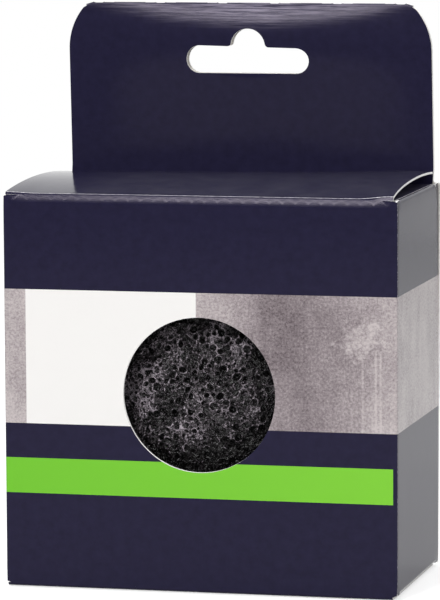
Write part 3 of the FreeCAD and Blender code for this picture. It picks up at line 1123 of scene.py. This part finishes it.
def fine_bubble_shading(add, bent):
    # Bubbles too fine for the mesh: thin pale rings as painted highlights, knocked out of round, with painted
    # shade in their cores.
    rings = []
    for size in (1.6, 1.0, 0.7):
        bubble = add("TexVoronoi", {"Vector": bent, "Scale": 1000 / size})
        ring = away_from(add, bubble, ring_middle)
        ring = add("MapRange", span(ring, 0.0, ring_half, 1.0, 0.0))
        core = add("MapRange", span(bubble, 0.12, 0.34, -0.9, 0.0))
        ring = add("Math ADD", (ring, core))
        chance = add("SeparateColor", {"Color": bubble.node.outputs["Color"]})
        chance = add("Math GREATER_THAN", (chance, 0.4))
        rings.append(add("Math MULTIPLY", (ring, chance)))
    wall = rings[0]
    for ring in rings[1:]:
        wall = add("Math ADD", (wall, ring))
    return wall


# %% Charcoal konjac material
# Where the painted shade at the window's rim is centred and how it is stretched, and the heights over which
# the painted light rises.
rim_shade_at, rim_shade_scale = (-0.003, 0.0, (sponge_z + 5.5) / 1000), (850.0, 0.0, 1000.0)
rise_low, rise_high = (sponge_z - 12) / 1000, (sponge_z + 20) / 1000
out_of_round = (0.0006, 0.0006, 0.0006)


def make_konjac():
    finish, add = new_finish("charcoal_konjac_foam")
    place = add("TexCoord").node.outputs["Object"]
    # The pit depth drives painted shade in the cells, and the lip a painted highlight on their rims.
    deep, edge, lump = [add("Attribute", attribute_name=name).node.outputs["Fac"]
                        for name in ("pit", "lip", "lump")]
    wobble = add("TexNoise", texture(place, 0.9, 2.0, 0.5, metre))
    bent = add("VectorMath MULTIPLY_ADD", (wobble.node.outputs["Color"], out_of_round, place))
    wall = fine_bubble_shading(add, bent)
    patch = add("TexNoise", texture(place, 6.0, 4.0, 0.6, metre))
    fleck = add("TexNoise", texture(place, 0.5, 3.0, 0.75, metre))
    # Painted shade: darker towards the rim of the window, most low down, where the dome falls away from the
    # light; painted light makes it a little lighter higher up.
    rim_shade = add("VectorMath SUBTRACT", (place, rim_shade_at))
    rim_shade = add("VectorMath MULTIPLY", (rim_shade, rim_shade_scale))
    rim_shade = add("VectorMath LENGTH", (rim_shade,))
    rim_shade = add("MapRange", span(rim_shade, 12.0, 19.5, -1.54, -2.14), **smooth)
    high = add("SeparateXYZ", {"Vector": place}).node.outputs["Z"]
    high = add("MapRange", span(high, rise_low, rise_high, -0.02, 0.06))
    # Painted highlight: the rim of an open cell is pale only here and there.
    broken_rim_highlight = add("MapRange", span(wobble, 0.45, 0.65))
    broken_rim_highlight = add("Math MULTIPLY", (edge, broken_rim_highlight))
    # Tiny painted glints, on about one in five of the smallest bubbles.
    spark = add("TexVoronoi", {"Vector": bent, "Scale": 1000 / 0.55})
    painted_glint = add("MapRange", span(spark, 0.15, 0.4, 0.9, 0.0))
    chance = add("SeparateColor", {"Color": spark.node.outputs["Color"]}).node.outputs["Green"]
    chance = add("MapRange", span(chance, 0.8, 1.0))
    painted_glint = add("Math MULTIPLY", (painted_glint, chance))
    tone = add("Math MULTIPLY_ADD", (patch, 2.0, rim_shade))
    tone = add("Math ADD", (tone, high))
    # Painted light and shade in the tone: bubble rings, broken rims and glints lighten it; pits and the low
    # ground between lumps darken it. Patch and fleck are the foam's own uneven tone.
    layers = ((wall, 0.34), (broken_rim_highlight, 0.5), (fleck, 1.9), (painted_glint, 0.9), (lump, 0.4), (deep, -1.6))
    for layer, weight in layers:
        tone = add("Math MULTIPLY_ADD", (layer, weight, tone))
    colour = add("ValToRGB", {"Fac": tone})
    set_stops(colour, (0.2, "#050304"), (0.62, "#352F34"), (1.0, "#A69CA5"))
    rough = add("MapRange", span(fleck, 0.35, 0.65, 0.1, 0.4))
    relief = add("Math MULTIPLY_ADD", (fleck, 1.2, wall))
    bump = add("Bump", {"Height": relief, "Strength": 1.0, "Distance": 0.0002})
    surface = add("BsdfPrincipled", {"Base Color": colour, "Roughness": rough, "IOR": 1.5, "Normal": bump})
    add("OutputMaterial", {"Surface": surface})
    return finish


sponge.data.materials.append(make_konjac())
print("sponge finished")

# %% [markdown]
# ## Floor and studio light
# A product shot on white. The floor and the world look white to the camera. In gloss
# they are dimmer, since a white sweep on every side would wash the navy film out, and
# what they shine on the carton is weak. That is left to four soft lamps: a strip high
# in front, a broad one above, and two fills. A picture of a studio could light the
# scene too, but lamps can be placed and weighed one by one.

# %% Floor
floor_r, floor_sides, floor_drop = 0.8, 96, 0.0002


def make_floor():
    finish, add = new_finish("white_studio_floor")
    ray = add("LightPath").node.outputs
    place = add("TexCoord").node.outputs["Object"]
    far = add("VectorMath LENGTH", (place,))
    far = add("MapRange", span(far, 0.15, 0.75), **smooth)
    tint = mixed(add, far, linear("#CACACA"), linear("#909090"))
    matt = add("BsdfDiffuse", {"Color": tint})
    # What gloss mirrors of the floor grows lighter with distance.
    mirrored = add("Math MAXIMUM", (ray["Is Glossy Ray"], ray["Is Transmission Ray"]))
    gleam = add("MapRange", span(far, 0.15, 0.6, 0.27, 0.4))
    lift = add("Math MULTIPLY", (mirrored, gleam))
    white = add("MapRange", span(far, 0.0, 1.0, 0.6, 0.85))
    lift = add("Math MULTIPLY_ADD", (ray["Is Camera Ray"], white, lift))
    glow = add("Emission", {"Color": linear("#FFFFFF"), "Strength": lift})
    both = add("AddShader", (matt, glow))
    add("OutputMaterial", {"Surface": both})
    return finish


floor_turn = np.linspace(0, 2 * math.pi, floor_sides, endpoint=False)
floor_ring = [(floor_r * math.cos(a), floor_r * math.sin(a), -floor_drop) for a in floor_turn]
floor_mesh = bpy.data.meshes.new("studio_floor")
floor_mesh.from_pydata(floor_ring, [], [tuple(range(floor_sides))])
floor_mesh.materials.append(make_floor())
floor = in_scene("studio_floor", floor_mesh)
print(f"floor of {floor_r} m radius")

# %% Lamps
lamps = (("front_strip", (-0.36, -1.4, 1.1), (0, 0, 0.09), (0.3, 0.6), 17),
         ("front_fill", (0.5, -1.65, 0.5), (0, 0, 0.06), (0.5, 0.5), 5.0),
         ("top_softbox", (0.1, 0.3, 1.6), (0, 0.2, 0), (1.6, 1.6), 16),
         ("right_fill", (1.5, -0.5, 0.8), (0, 0, 0.06), (0.9, 0.9), 5))
for name, at, target, size, watts in lamps:
    lamp = bpy.data.lights.new(name, "AREA")
    lamp.shape, lamp.size, lamp.size_y, lamp.energy = "RECTANGLE", size[0], size[1], watts
    made = in_scene(name, lamp)
    made.location = at
    made.rotation_euler = (Vector(target) - Vector(at)).to_track_quat("-Z", "Y").to_euler()
    made.visible_camera = False
print(len(lamps), "soft lamps")

# %% World
world = bpy.data.worlds.new("white_studio")
bpy.context.scene.world = world
world.use_nodes = True
world.node_tree.nodes.clear()
add = partial(add_node, world.node_tree)
ray = add("LightPath").node.outputs
shown = ray["Is Camera Ray"]
for kind in ("Is Glossy Ray", "Is Transmission Ray"):
    shown = add("Math MAXIMUM", (shown, ray[kind]))
way = add("SeparateXYZ", {"Vector": add("TexCoord").node.outputs["Generated"]}).node.outputs
# In gloss the room in front of the carton is darker than the white sweep behind it.
sweep = add("MapRange", span(way["Y"], -0.9, 0.1, 0.2, 1.0), **smooth)
# It is darker again to the right, which only the carton's right side mirrors.
right_dim = add("MapRange", span(way["X"], 0.1, 0.3, 1.0, 0.42), **smooth)
sweep = add("Math MULTIPLY", (sweep, right_dim))
backdrop = add("Math MAXIMUM", (sweep, ray["Is Camera Ray"]))
strength = add("MapRange", span(shown, 0.0, 1.0, 0.3, backdrop))
light = add("Background", {"Color": linear("#FFFFFF"), "Strength": strength})
add("OutputWorld", {"Surface": light})
bpy.context.scene.view_settings.view_transform = "Standard"
print("a white surround")

# %% [markdown]
# ## The end
# The view layer is updated once more at the end. The looks must stay in the solids'
# box.

# %% Finish
bpy.context.view_layer.update()
